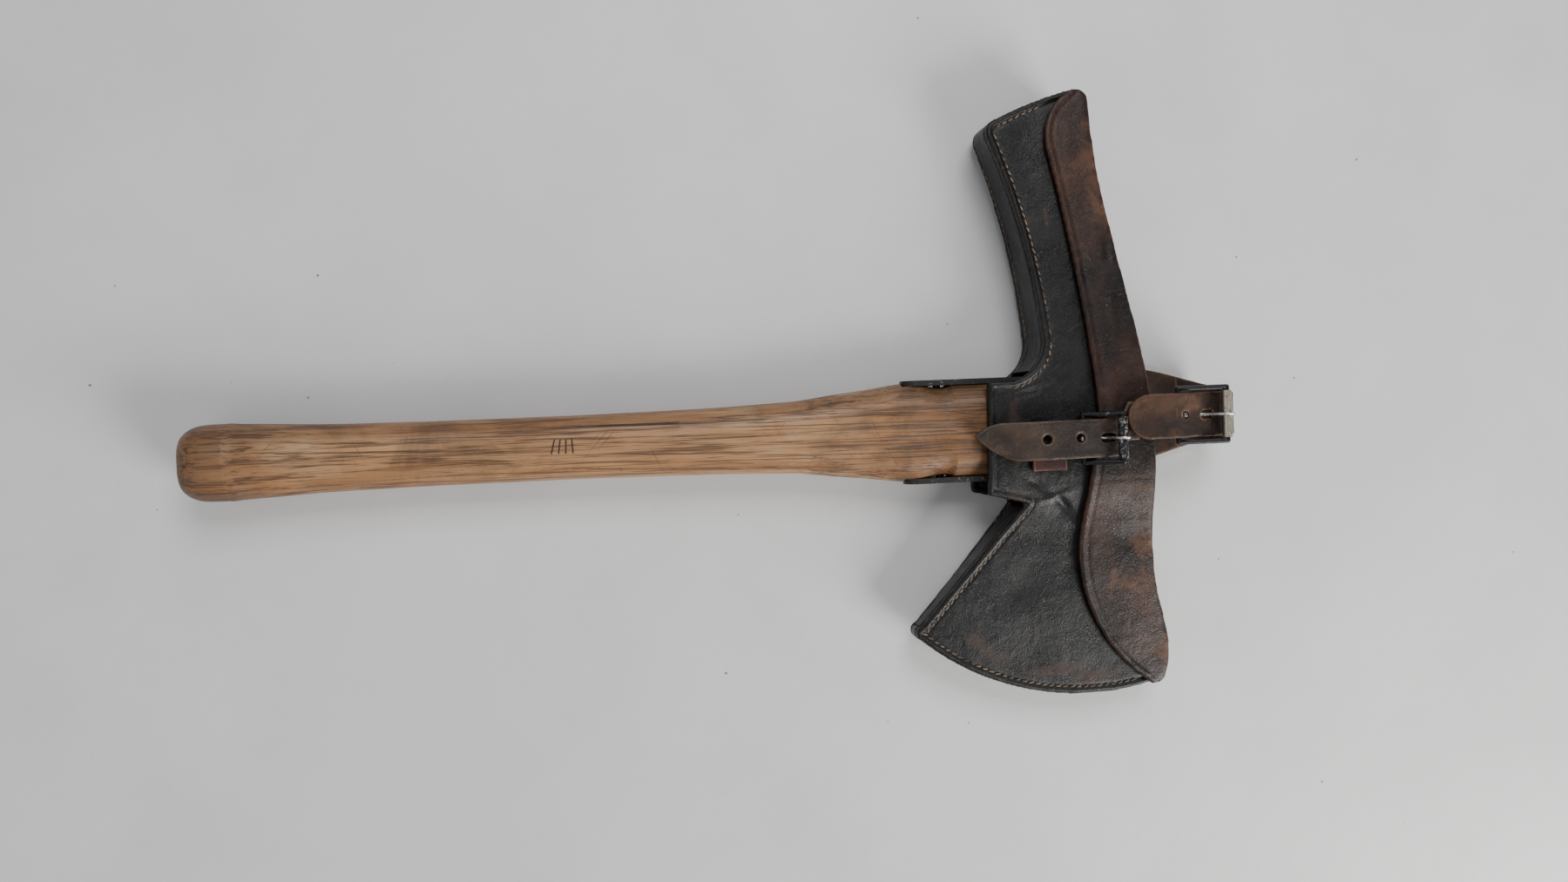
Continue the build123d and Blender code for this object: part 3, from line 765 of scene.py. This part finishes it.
@dataclass
class Hide:
    """One leather piece grown from plain solids: remeshed, rounded, dented and given its rim."""

    name: str
    nodes: tuple[str, ...]
    slot: str
    body: str
    voxel: float = 0.9 * MM
    rounds: int = 3
    dent: float = 0.5 * MM
    dent_size: float = 28.0
    ripple: float = 0.12 * MM
    bead: float = 0.0
    groove_at: float = 4.0 * MM
    groove: float = 0.0
    bend: tuple[str, str, Vector, Vector] | None = None
    seed: float = 0.0
    eye: Vector = field(default_factory=Vector)
    patches: tuple[Patch, ...] = ()
    folded: bool = False
    look: str = ""
    meets: tuple[str, ...] = ()
    creases: tuple[tuple[float, float], ...] = ()
    obj: bpy.types.Object | None = field(default=None, repr=False)

    def grow(self, cad: dict[str, bpy.types.Object], wardrobe: Wardrobe) -> bpy.types.Object:
        """Builds the piece and hangs it on its body; a piece given a bend is left on no body.

        Args:
            cad: the frame's nodes by name.
            wardrobe: the finishes.

        Returns:
            The finished object.
        """
        self.obj, rim_points = merged_copy(self.name, self.nodes, cad, self.meets)
        remesh = self.obj.modifiers.new("even", "REMESH")
        remesh.mode = "VOXEL"
        remesh.voxel_size = self.voxel
        apply_modifiers(self.obj)
        self.round_over(self.rounds)
        if self.folded:
            fold = fold_points(rim_points)
            self.round_over(16, [p for p in fold if p.z > 20 * MM])
            rim_points = [p for p in rim_points if p not in fold]
        self.wear(rim_points)
        self.obj.data.polygons.foreach_set("use_smooth", [True] * len(self.obj.data.polygons))
        wardrobe.dress(self.obj, self.look or self.slot)
        if self.bend is None:
            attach(self.obj, self.body)
        else:
            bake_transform(self.obj)
        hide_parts(*self.nodes)
        LOG.info("%s: %d faces", self.name, len(self.obj.data.polygons))
        return self.obj

    def round_over(self, rounds: int, near: list[Vector] | None = None, reach: float = 6.0 * MM) -> None:
        """Rounds the cut edges as skived leather is.

        Args:
            rounds: smoothing passes.
            near: only points this close to these are smoothed, or None for all.
            reach: how close.
        """
        mesh = bmesh.new()
        mesh.from_mesh(self.obj.data)
        chosen = list(mesh.verts)
        if near is not None:
            tree = point_tree(near)
            chosen = [v for v in mesh.verts if tree.find(v.co)[2] < reach]
        for _ in range(rounds):
            bmesh.ops.smooth_vert(mesh, verts=chosen, factor=0.5, use_axis_x=True, use_axis_y=True,
                                  use_axis_z=True)
        mesh.to_mesh(self.obj.data)
        mesh.free()

    def ease(self, point: Vector, spread: float = 11.0 * MM) -> float:
        """How far a point moves in height where the leather bends softly over the head instead of creasing.

        Args:
            point: the point.
            spread: how far the bend reaches each way.

        Returns:
            The move along Z.
        """
        move = 0.0
        for at, slope in self.creases:
            left = spread - abs(point.y - self.eye.y - at * MM)
            move -= slope * max(0.0, left) ** 2 / (4 * spread)
        return move if point.z > self.eye.z else -move

    def wear(self, rim_points: list[Vector]) -> None:
        """Dents and ripples the leather, presses its border, and stores each point's distance to the rim.

        Args:
            rim_points: points on the sharp edges of the plain solid.
        """
        tree = point_tree(rim_points)
        count = len(self.obj.data.vertices)
        layers = {"rim": np.full(count, 1.0), "scuff": np.zeros(count), "dark": np.zeros(count)}
        normals = [v.normal.copy() for v in self.obj.data.vertices]
        shift = Vector((self.seed, 0.7 * self.seed, 0))
        for index, vertex in enumerate(self.obj.data.vertices):
            point = vertex.co.copy()
            rim = tree.find(point)[2] if rim_points else 1.0
            layers["rim"][index] = rim
            low = noise.noise(point * self.dent_size + shift)
            high = noise.noise(point * 230.0 + shift)
            push = -self.dent * max(0.0, low) - self.ripple * (0.5 + 0.5 * high)
            if self.bead and abs(normals[index].z) > 0.5:
                push += self.bead * math.exp(-((rim - 1.9 * MM) / (1.3 * MM)) ** 2)
            if self.groove and abs(normals[index].z) > 0.5:
                push -= self.groove * math.exp(-((rim - self.groove_at) / (0.7 * MM)) ** 2)
            slip = 0.0
            for patch in self.patches:
                share = patch.share(point, self.eye)
                tear = noise.noise(point * 170.0) + 0.6 * noise.noise(point * 520.0)
                slip += patch.fray * MM * share * tear
                layers["scuff"][index] = max(layers["scuff"][index], share * patch.scuff)
                layers["dark"][index] = max(layers["dark"][index], share * patch.dark)
                push += patch.push * MM * share if normals[index].z > 0.3 else 0.0
            vertex.co = point + normals[index] * push + Vector((slip, 0, self.ease(point)))
        for name, values in layers.items():
            layer = self.obj.data.attributes.new(name, "FLOAT", "POINT")
            layer.data.foreach_set("value", values)


# ---------------------------------------------------------------------------- stitches
@dataclass
class Seam:
    """A row of thread stitches, laid where the part's own stitches are."""

    node: str = "front_seam"
    slot: str = "thread"
    body: str = "sheath"
    thick: float = 0.95 * MM
    long: float = 2.9 * MM
    back_z: float = 34.0 * MM
    wall_z: float = 9.0 * MM
    pitch: float = 3.75 * MM
    sunk: float = 0.32 * MM

    def islands(self, source: bpy.types.Object) -> list[np.ndarray]:
        """Splits the node into its separate stitches.

        Args:
            source: the CAD node.

        Returns:
            Vertex positions of each stitch.
        """
        mesh = bmesh.new()
        mesh.from_mesh(source.data)
        bmesh.ops.remove_doubles(mesh, verts=mesh.verts, dist=1e-6)
        groups, seen = [], set()
        for start in mesh.verts:
            if start in seen:
                continue
            stack, group = [start], []
            seen.add(start)
            while stack:
                vertex = stack.pop()
                group.append(tuple(vertex.co))
                for edge in vertex.link_edges:
                    other = edge.other_vert(vertex)
                    if other not in seen:
                        seen.add(other)
                        stack.append(other)
            groups.append(np.array(group))
        mesh.free()
        return groups

    def corner_rows(self, rows: list[tuple[Vector, Vector]]) -> list[tuple[Vector, float]]:
        """Stitches that carry a row round a corner to where the next row begins.

        Args:
            rows: each stitch's middle and direction.

        Returns:
            The added stitches' middles and angles.
        """
        ends = []
        for middle, along in rows:
            close = [other for other, _ in rows if 0 < (other - middle).length < 1.7 * self.pitch]
            if len(close) == 1:
                ends.append((middle, along if along.dot(middle - close[0]) > 0 else -along))
        added: list[tuple[Vector, float]] = []
        for number, (first, along) in enumerate(ends):
            for second, across in ends[number + 1:]:
                turn = along.x * across.y - along.y * across.x
                step = second - first
                if not 1.7 * self.pitch < step.length < 40 * MM or abs(turn) < 0.5:
                    continue
                reach = (step.x * across.y - step.y * across.x) / turn
                corner = first + along * reach
                if reach < 0 or (corner - second).dot(across) < 0:
                    continue
                for start in (first, second):
                    arm = corner - start
                    count = round(arm.length / self.pitch)
                    if arm.length < 35 * MM:
                        added.extend((start + arm * (k / max(1, count)), math.atan2(arm.y, arm.x))
                                     for k in range(1, count))
        return added

    def wall_spot(self, walls: list[BVHTree], middle: np.ndarray, along: Vector,
                  inside: Vector) -> Vector | None:
        """The place on a gusset's outer face beside a stitch, near the back panel.

        Args:
            walls: search trees of the gussets.
            middle: middle of the front stitch.
            along: the seam's direction there.
            inside: a point well inside the sheath.

        Returns:
            The place, or None where no gusset stands beside the stitch.
        """
        out = Vector((-along.y, along.x, 0.0)).normalized()
        start = Vector((middle[0], middle[1], self.wall_z))
        if out.dot(Vector((inside.x, inside.y, self.wall_z)) - start) > 0:
            out = -out
        for wall in walls:
            hit = wall.ray_cast(start + out * 30 * MM, -out, 30 * MM)[0]
            if hit is not None:
                return hit
        return None

    def lay(self, mesh: bmesh.types.BMesh, place: Vector, turn: Matrix, number: int, flat: float) -> None:
        """Adds one plump thread.

        Args:
            mesh: the mesh to add to.
            place: its middle.
            turn: its direction.
            number: varies its length.
            flat: share of the thread's thickness that stands proud.
        """
        size = 1.0 + 0.14 * math.sin(number * 5.1)
        shape = Matrix.Diagonal((self.long * size, self.thick, flat * self.thick, 1.0))
        bmesh.ops.create_uvsphere(mesh, u_segments=8, v_segments=6, radius=0.5,
                                  matrix=Matrix.Translation(place) @ turn @ shape)

    def build(self, cad: dict[str, bpy.types.Object], wardrobe: Wardrobe) -> bpy.types.Object:
        """Lays a thread at every stitch, front and back, and along the gussets' outer faces.

        Args:
            cad: the frame's nodes by name.
            wardrobe: the finishes.

        Returns:
            The thread object.
        """
        walls = [surface_tree(cad[node]) for node in ("pick_gusset", "blade_gusset")]
        low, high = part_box("front_panel")
        inside = Vector((high.x, 0.5 * (low.y + high.y), 0))
        mesh = bmesh.new()
        rows: list[tuple[Vector, Vector]] = []
        for index, points in enumerate(self.islands(cad[self.node])):
            middle = points.mean(0)
            axis = np.linalg.svd(points[:, :2] - middle[:2], full_matrices=False)[2][0]
            angle = math.atan2(axis[1], axis[0])
            rows.append((Vector((middle[0], middle[1], middle[2])), Vector((axis[0], axis[1], 0))))
            turn = Matrix.Rotation(angle + 0.2 + 0.13 * math.sin(index * 2.4), 4, "Z")
            self.lay(mesh, Vector((middle[0], middle[1], middle[2] - self.sunk)), turn, index, 0.8)
            back = self.back_z - middle[2] + self.sunk
            self.lay(mesh, Vector((middle[0], middle[1], back)), turn, index + 1, 0.8)
            spot = self.wall_spot(walls, middle, Vector((axis[0], axis[1], 0)), inside)
            if spot is not None:
                self.lay(mesh, spot, Matrix.Rotation(angle, 4, "Z"), index + 2, 0.9)
        for index, (spot, angle) in enumerate(self.corner_rows(rows)):
            self.lay(mesh, spot - Vector((0, 0, self.sunk)), Matrix.Rotation(angle + 0.2, 4, "Z"), index, 0.8)
        data = bpy.data.meshes.new("seam_thread")
        mesh.to_mesh(data)
        mesh.free()
        data.polygons.foreach_set("use_smooth", [True] * len(data.polygons))
        obj = bpy.data.objects.new("seam_thread", data)
        bpy.context.scene.collection.objects.link(obj)
        wardrobe.dress(obj, self.slot)
        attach(obj, self.body)
        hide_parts(self.node)
        return obj


# ---------------------------------------------------------------------------- sub-assemblies
@dataclass
class Sheath:
    """Panels, walls and seams of the sheath, with the front buckle's chape and stop."""

    eye: Vector
    panel_dent: float = 0.9 * MM
    neck: tuple[Patch, ...] = (
        Patch(-49, -4, 5, 34, 0, scuff=1.0, fray=2.6),
        Patch(-46, -34, 12, 6, 20, scuff=0.8, dark=0.2),
        # painted shade: this dent is also darkened
        Patch(-30, 10, 16, 12, -20, dark=0.3, push=-0.5),
        Patch(-38, -29, 9, 3, -35, push=-1.1),
        # painted shade: the crease below the eye is darkened along its dent
        Patch(-24, -40, 12, 3.4, -50, push=-1.3, dark=0.5),
        Patch(-15, -52, 13, 5, -30, push=0.5),
        Patch(-30, -36, 13, 2.5, 15, push=0.7),
        Patch(-41, 18, 12, 3, 10, push=-0.7, scuff=0.4),
    )
    blade: tuple[Patch, ...] = (
        Patch(-28, -127, 24, 5, 5, scuff=1.15),
        Patch(-4, -131, 22, 4.5, 6, scuff=1.2),
        Patch(-66, -113, 20, 7, -28, scuff=0.8),
        Patch(-8, -100, 12, 10, 0, scuff=0.55),
        Patch(-20, -70, 18, 8, 80, scuff=0.45, push=-0.4),
        Patch(12, -112, 4, 22, 0, scuff=0.6),
        # painted shade: this dent is also darkened
        Patch(-45, -80, 20, 13, 50, dark=0.25, push=-0.6),
        Patch(0, -60, 14, 20, 0, dark=0.35),
    )
    pick: tuple[Patch, ...] = (
        Patch(-28, 107, 1.6, 10, 8, scuff=1.3),
        # painted shade: this dent is also darkened
        Patch(-38, 148, 9, 14, 0, dark=0.3, push=-0.5),
        # painted shadow: a narrow dark strip along the flap's edge, where the flap's shadow falls
        Patch(-20, 60, 5, 38, 8, dark=0.5),
        Patch(-36, 100, 3.4, 38, 12, scuff=0.45),
    )

    def build(self, cad: dict[str, bpy.types.Object], wardrobe: Wardrobe) -> None:
        """Builds every leather piece of the sheath.

        Args:
            cad: the frame's nodes by name.
            wardrobe: the finishes.
        """
        marks = self.neck + self.blade + self.pick
        for number, node in enumerate(("front_panel", "back_panel")):
            Hide("skin_" + node, (node,), "sheath_leather", "sheath", 0.95 * MM, 3, self.panel_dent, 24.0,
                 bead=(0.75, 0.15)[number] * MM, groove=0.6 * MM, seed=3.0 + number, eye=self.eye,
                 patches=marks, creases=HEAD_BENDS).grow(cad, wardrobe)
        for number, node in enumerate(("pick_gusset", "blade_gusset", "edge_welt")):
            Hide("skin_" + node, (node,), "sheath_leather", "sheath", 0.9 * MM, 2, 0.35 * MM, 40.0,
                 seed=9.0 + number, eye=self.eye, patches=self.blade[:3]).grow(cad, wardrobe)
        Hide("skin_keeper", ("keeper",), "keeper_leather", "sheath", 0.35 * MM, 3, 0.15 * MM, 90.0,
             ripple=0.08 * MM).grow(cad, wardrobe)
        Hide("skin_front_chape", ("front_chape",), "flap_leather", "sheath", 0.4 * MM, 2, 0.1 * MM, 60.0,
             ripple=0.05 * MM).grow(cad, wardrobe)
        Seam().build(cad, wardrobe)


@dataclass
class FlapSet:
    """The flap with both straps and the belt loop."""

    eye: Vector
    flap_marks: tuple[Patch, ...] = (
        Patch(0, 120, 13, 46, 7, scuff=0.75),
        Patch(14, 84, 9, 26, 10, scuff=0.8),
        Patch(24, 40, 9, 30, 10, scuff=0.3),
        Patch(15, -4, 22, 30, 0, dark=0.85),
        Patch(20, 60, 8, 34, 10, dark=0.3),
        Patch(22, -62, 18, 13, 0, scuff=0.75),
        Patch(16, -86, 16, 18, 0, scuff=0.6),
        Patch(38, -122, 14, 18, 0, scuff=0.9),
        Patch(2, -82, 4, 16, -6, scuff=0.9),
        Patch(3, 58, 3, 12, 8, push=0.6),
        Patch(2, 88, 3, 9, 8, push=-0.6),
        Patch(30, -108, 9, 22, 8, push=-0.8),
        Patch(12, -60, 12, 8, 0, push=-0.7),
        Patch(14, 30, 9, 6, 20, push=-0.5),
    )

    def build(self, cad: dict[str, bpy.types.Object], wardrobe: Wardrobe) -> None:
        """Builds the flap, the two straps and the loop's leather.

        Args:
            cad: the frame's nodes by name.
            wardrobe: the finishes.
        """
        Hide("skin_flap", ("flap",), "flap_leather", "flap", 0.95 * MM, 3, 0.8 * MM, 22.0, ripple=0.14 * MM,
             bead=0.5 * MM, groove=0.35 * MM, groove_at=4.6 * MM, seed=5.0, eye=self.eye,
             patches=self.flap_marks,
             folded=True, creases=HEAD_BENDS).grow(cad, wardrobe)
        Hide("skin_loop_chape", ("loop_chape",), "flap_leather", "flap", 0.4 * MM, 2, 0.1 * MM, 60.0,
             ripple=0.05 * MM).grow(cad, wardrobe)
        Hide("skin_belt_tab", ("belt_tab",), "belt_leather", "flap", 0.55 * MM, 3, 0.4 * MM, 55.0,
             ripple=0.2 * MM, bead=0.12 * MM, seed=13.0, meets=("belt_strap_root",)).grow(cad, wardrobe)
        for name, nodes, slot, look, bodies in (
            ("closing_strap", ("closing_strap_root", "closing_strap_end"), "flap_leather", "strap_leather",
             ("flap", "closing_strap")),
            ("belt_strap", ("belt_strap_root", "belt_strap_end"), "belt_leather", "", ("flap", "belt_strap")),
        ):
            edge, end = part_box(nodes[-2])[0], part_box(nodes[-1])
            split = Vector((0.5 * (edge.x + end[1].x), 0.5 * (end[0].y + end[1].y), end[1].z))
            bend = (*bodies, split + Vector((0.5 * MM, 0, 0)), split - Vector((9 * MM, 0, 0)))
            Hide("skin_" + name, nodes, slot, bodies[0], 0.55 * MM, 3, 0.4 * MM, 55.0, ripple=0.2 * MM,
                 bead=0.12 * MM, bend=bend, seed=11.0, look=look,
                 meets=("belt_tab",) if "belt" in name else ()).grow(cad, wardrobe)


@dataclass
class HardParts:
    """Wood and metal nodes that keep their own shape and only get a finish."""

    kept: tuple[str, ...] = (
        "axe_handle", "axe_head", "eye_wedge", "langet_upper", "langet_lower", "langet_pins", "front_buckle",
        "front_roller", "front_tongue", "loop_buckle", "loop_roller", "loop_tongue", "loop_rivets",
        "chape_rivets",
    )

    finer: dict[str, str] = field(
        default_factory=lambda: dict.fromkeys(("front_tongue", "loop_tongue"), "bright_wire"))

    def build(self, cad: dict[str, bpy.types.Object], record: dict, wardrobe: Wardrobe) -> None:
        """Dresses each node in its record slot's finish.

        Args:
            cad: the frame's nodes by name.
            record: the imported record.
            wardrobe: the finishes.
        """
        slots = {part["node"]: part["material_slot"] for part in record["subparts"]}
        for node in self.kept:
            wardrobe.dress(cad[node], self.finer.get(node, slots[node]))


@dataclass
class Studio:
    """Table, lights and camera."""

    camera_at: Vector = field(default_factory=lambda: Vector((-0.0450, -0.0035, 0.5600)))
    right: Vector = field(default_factory=lambda: Vector((0.99114, -0.04113, 0.12630)))
    forward: Vector = field(default_factory=lambda: Vector((0.12529, -0.02629, -0.99177)))
    lens: float = 24.76
    table_z: float = -0.0004

    def build(self, wardrobe: Wardrobe) -> None:
        """Builds the table, the lights and the camera.

        Args:
            wardrobe: the finishes, which keeps the table's too.
        """
        mesh = bmesh.new()
        bmesh.ops.create_grid(mesh, x_segments=2, y_segments=2, size=3.0,
                              matrix=Matrix.Translation((0, 0, self.table_z)))
        data = bpy.data.meshes.new("table_top")
        mesh.to_mesh(data)
        mesh.free()
        table = bpy.data.objects.new("table_top", data)
        bpy.context.scene.collection.objects.link(table)
        data.materials.append(wardrobe.stage_top())
        self.light("key_low_right", (1.1, -1.0, 0.75), 0.8, 33.0, (1.0, 0.985, 0.96))
        self.light("fill_top", (0.2, 0.85, 1.2), 0.7, 12.0, (0.97, 0.98, 1.0))
        self.light("fill_left", (-1.1, -0.5, 1.0), 1.2, 4.0, (0.97, 0.98, 1.0))
        world = bpy.data.worlds.new("soft_room")
        bpy.context.scene.world = world
        world.use_nodes = True
        sky = world.node_tree.nodes["Background"]
        sky.inputs[0].default_value = (0.95, 0.97, 1.0, 1)
        sky.inputs[1].default_value = 0.27
        self.camera()

    def light(self, name: str, place: tuple[float, float, float], size: float, watts: float,
              tint: Colour) -> None:
        """Adds one soft area light aimed at the object.

        Args:
            name: the light's name.
            place: where it stands.
            size: side of the square.
            watts: power.
            tint: its colour.
        """
        lamp = bpy.data.lights.new(name, "AREA")
        lamp.size, lamp.energy, lamp.color = size, watts, tint
        obj = bpy.data.objects.new(name, lamp)
        obj.location = place
        obj.rotation_euler = (Vector((0.08, 0, 0.02)) - Vector(place)).to_track_quat("-Z", "Y").to_euler()
        bpy.context.scene.collection.objects.link(obj)

    def camera(self) -> None:
        """Sets the scene's camera, nearly straight down."""
        forward = self.forward.normalized()
        right = (self.right - forward * self.right.dot(forward)).normalized()
        up = right.cross(forward)
        turn = Matrix((right, up, -forward)).transposed().to_4x4()
        data = bpy.data.cameras.new("camera")
        data.sensor_width, data.lens = 36.0, self.lens
        data.clip_start = 0.01
        obj = bpy.data.objects.new("camera", data)
        obj.matrix_world = Matrix.Translation(self.camera_at) @ turn
        bpy.context.scene.collection.objects.link(obj)
        bpy.context.scene.camera = obj


def main() -> None:
    """Builds the whole scene."""
    logging.basicConfig(level=logging.INFO, format="%(name)s: %(message)s")
    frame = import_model()
    wardrobe = Wardrobe()
    HardParts().build(frame["nodes"], frame["record"], wardrobe)
    low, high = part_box("eye_wedge")
    eye = 0.5 * (low + high)
    LOG.info("eye at %s", eye)
    Sheath(eye).build(frame["nodes"], wardrobe)
    FlapSet(eye).build(frame["nodes"], wardrobe)
    Studio().build(wardrobe)


if __name__ == "__main__":
    main()
